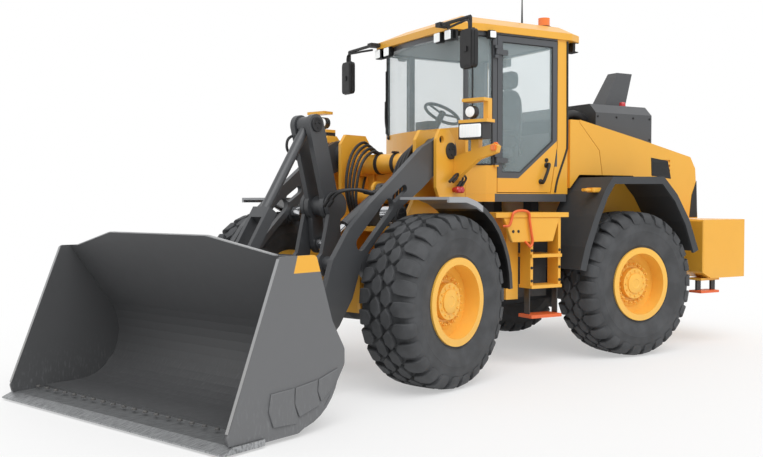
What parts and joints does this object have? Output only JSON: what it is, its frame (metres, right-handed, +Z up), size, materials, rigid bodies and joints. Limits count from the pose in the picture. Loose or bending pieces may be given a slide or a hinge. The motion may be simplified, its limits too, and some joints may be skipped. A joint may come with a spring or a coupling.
{
  "type": "wheel loader",
  "caption": "Articulated wheel loader with a hollow glazed cab, Z-type lifting gear, wide bucket, opening door and hood and freely turning wheels.",
  "frame": {"origin": "middle of the bounding box on the ground", "axes": "+X forward along the rear half, +Y to its left, +Z up; the front half is steered 20 degrees to the left"},
  "size_m": [7.8392, 3.827, 3.621],
  "materials": {
    "yellow_paint": "semi-gloss amber paint",
    "grey_paint": "satin charcoal paint",
    "black_metal": "matt black paint",
    "bucket_steel": "worn grey paint",
    "worn_steel": "worn bright steel",
    "rod_chrome": "hard chrome",
    "rubber": "matt rubber",
    "window": "tinted safety glass",
    "black_plastic": "textured plastic",
    "cloth": "woven cloth",
    "fender_plastic": "moulded plastic",
    "light_grey": "moulded plastic",
    "lamp": "clear lens",
    "orange_lens": "orange lens",
    "orange_paint": "orange paint",
    "iron": "painted casting"
  },
  "bodies": {
    "rear": {"rear_chassis": "grey_paint", "rear_axle": "iron", "gearbox": "iron", "engine_block": "iron", "counterweight": "yellow_paint", "tow_hitch": "black_metal", "rear_steps": "orange_paint", "rear_cowl": "yellow_paint", "rear_fenders": "fender_plastic", "exhaust_box": "grey_paint", "side_tanks": "yellow_paint", "ladder": "yellow_paint", "cab_floor": "grey_paint", "cab_shell": "yellow_paint", "cab_roof": "yellow_paint", "cab_glass": "window", "seat": "cloth", "console": "black_plastic", "roof_lamps": "lamp", "mirrors": "black_plastic", "beacon": "orange_lens"},
    "front": {"front_frame": "yellow_paint", "tower_left": "yellow_paint", "tower_right": "yellow_paint", "front_axle": "iron", "front_fenders": "light_grey", "headlamps": "yellow_paint"},
    "boom": {"boom": "grey_paint"},
    "bucket": {"bucket": "bucket_steel", "coupler": "black_metal", "cutting_edge": "worn_steel"},
    "lever": {"tilt_lever": "grey_paint"},
    "link": {"tilt_link": "grey_paint"},
    "tilt_barrel": {"tilt_barrel": "black_metal"},
    "tilt_rod": {"tilt_rod": "rod_chrome"},
    "door": {"cab_door": "grey_paint", "door_glass": "window"},
    "hood": {"engine_hood": "yellow_paint"},
    "lift_barrel_left": {"lift_barrel_left": "black_metal"},
    "lift_rod_left": {"lift_rod_left": "rod_chrome"},
    "steer_barrel_left": {"steer_barrel_left": "black_metal"},
    "steer_rod_left": {"steer_rod_left": "rod_chrome"},
    "lift_barrel_right": {"lift_barrel_right": "black_metal"},
    "lift_rod_right": {"lift_rod_right": "rod_chrome"},
    "steer_barrel_right": {"steer_barrel_right": "black_metal"},
    "steer_rod_right": {"steer_rod_right": "rod_chrome"},
    "wheel_front_left": {"wheel_front_left": "yellow_paint", "tyre_front_left": "rubber"},
    "wheel_front_right": {"wheel_front_right": "yellow_paint", "tyre_front_right": "rubber"},
    "wheel_rear_left": {"wheel_rear_left": "yellow_paint", "tyre_rear_left": "rubber"},
    "wheel_rear_right": {"wheel_rear_right": "yellow_paint", "tyre_rear_right": "rubber"}
  },
  "joints": [
    {"name": "steer", "type": "hinge", "parent": "rear", "child": "front", "pos_m": [-0.32909, -0.68854, 0.885], "axis": [0, 0, -1], "range_deg": [-20, 60]},
    {"name": "boom_lift", "type": "hinge", "parent": "front", "child": "boom", "pos_m": [0.51664, -0.38072, 1.98], "axis": [0.342, -0.9397, 0], "range_deg": [0, 84]},
    {"name": "bucket_tilt", "type": "hinge", "parent": "boom", "child": "bucket", "pos_m": [2.12633, 0.20516, 0.439], "axis": [-0.342, 0.9397, 0], "range_deg": [-42, 126]},
    {"name": "lever_turn", "type": "hinge", "parent": "boom", "child": "lever", "pos_m": [1.38115, -0.06606, 1.494], "axis": [-0.342, 0.9397, 0], "range_deg": [-39.42, 117.28]},
    {"name": "link_turn", "type": "hinge", "parent": "lever", "child": "link", "pos_m": [1.56439, 0.00063, 2.175], "axis": [-0.342, 0.9397, 0], "range_deg": [-119.08, 40.03]},
    {"name": "tilt_barrel_turn", "type": "hinge", "parent": "front", "child": "tilt_barrel", "pos_m": [0.61061, -0.34652, 1.64], "axis": [0.342, -0.9397, 0], "range_deg": [-0.5, 88.7]},
    {"name": "tilt_rod_slide", "type": "slide", "parent": "tilt_barrel", "child": "tilt_rod", "axis": [0.8049, 0.293, -0.5161], "range_m": [-0.002, 0.046]},
    {"name": "lift_barrel_left_turn", "type": "hinge", "parent": "front", "child": "lift_barrel_left", "pos_m": [0.10044, 0.03181, 0.7], "axis": [0.342, -0.9397, 0], "range_deg": [-0.5, 25.19]},
    {"name": "lift_rod_left_slide", "type": "slide", "parent": "lift_barrel_left", "child": "lift_rod_left", "axis": [0.7369, 0.2682, 0.6205], "range_m": [-0.002, 0.9137]},
    {"name": "steer_barrel_left_turn", "type": "hinge", "parent": "rear", "child": "steer_barrel_left", "pos_m": [-1.07909, -0.21854, 0.88], "axis": [0, 0, -1], "range_deg": [-6.24, 17.72]},
    {"name": "steer_rod_left_slide", "type": "slide", "parent": "steer_barrel_left", "child": "steer_rod_left", "axis": [1, 0.0008, 0], "range_m": [-0.1376, 0.4088]},
    {"name": "lift_barrel_right_turn", "type": "hinge", "parent": "front", "child": "lift_barrel_right", "pos_m": [0.46298, -0.96427, 0.7], "axis": [0.342, -0.9397, 0], "range_deg": [-0.5, 25.19]},
    {"name": "lift_rod_right_slide", "type": "slide", "parent": "lift_barrel_right", "child": "lift_rod_right", "axis": [0.7369, 0.2682, 0.6205], "range_m": [-0.002, 0.9137]},
    {"name": "steer_barrel_right_turn", "type": "hinge", "parent": "rear", "child": "steer_barrel_right", "pos_m": [-1.07909, -1.15854, 0.88], "axis": [0, 0, -1], "range_deg": [-6.03, 17.09]},
    {"name": "steer_rod_right_slide", "type": "slide", "parent": "steer_barrel_right", "child": "steer_rod_right", "axis": [0.9802, 0.198, 0], "range_m": [-0.4222, 0.1421]},
    {"name": "door", "type": "hinge", "parent": "rear", "child": "door", "pos_m": [-0.36909, 0.08946, 2.3], "axis": [0, 0, -1], "range_deg": [0, 80]},
    {"name": "hood", "type": "hinge", "parent": "rear", "child": "hood", "pos_m": [-3.09909, -0.68854, 1.385], "axis": [0, -1, 0], "range_deg": [0, 60]},
    {"name": "wheel_front_left_spin", "type": "hinge", "parent": "front", "child": "wheel_front_left", "pos_m": [0.7504, 0.73129, 0.718], "axis": [-0.342, 0.9397, 0], "continuous": true},
    {"name": "wheel_front_right_spin", "type": "hinge", "parent": "front", "child": "wheel_front_right", "pos_m": [1.4105, -1.08231, 0.718], "axis": [-0.342, 0.9397, 0], "continuous": true},
    {"name": "wheel_rear_left_spin", "type": "hinge", "parent": "rear", "child": "wheel_rear_left", "pos_m": [-1.82909, 0.27646, 0.718], "axis": [0, 1, 0], "continuous": true},
    {"name": "wheel_rear_right_spin", "type": "hinge", "parent": "rear", "child": "wheel_rear_right", "pos_m": [-1.82909, -1.65354, 0.718], "axis": [0, 1, 0], "continuous": true}
  ],
  "couplings": [
    {"joint": "lever_turn", "follows": "bucket_tilt", "ratio": 0.92679},
    {"joint": "link_turn", "follows": "bucket_tilt", "ratio": -0.94115},
    {"joint": "tilt_barrel_turn", "follows": "boom_lift", "ratio": 1.05},
    {"joint": "tilt_rod_slide", "follows": "boom_lift", "m_per_rad": 0.03},
    {"joint": "lift_barrel_left_turn", "follows": "boom_lift", "ratio": 0.29394},
    {"joint": "lift_rod_left_slide", "follows": "boom_lift", "m_per_rad": 0.62186},
    {"joint": "steer_barrel_left_turn", "follows": "steer", "ratio": 0.28705},
    {"joint": "steer_rod_left_slide", "follows": "steer", "m_per_rad": 0.38847},
    {"joint": "lift_barrel_right_turn", "follows": "boom_lift", "ratio": 0.29394},
    {"joint": "lift_rod_right_slide", "follows": "boom_lift", "m_per_rad": 0.62186},
    {"joint": "steer_barrel_right_turn", "follows": "steer", "ratio": 0.27648},
    {"joint": "steer_rod_right_slide", "follows": "steer", "m_per_rad": -0.40122}
  ]
}
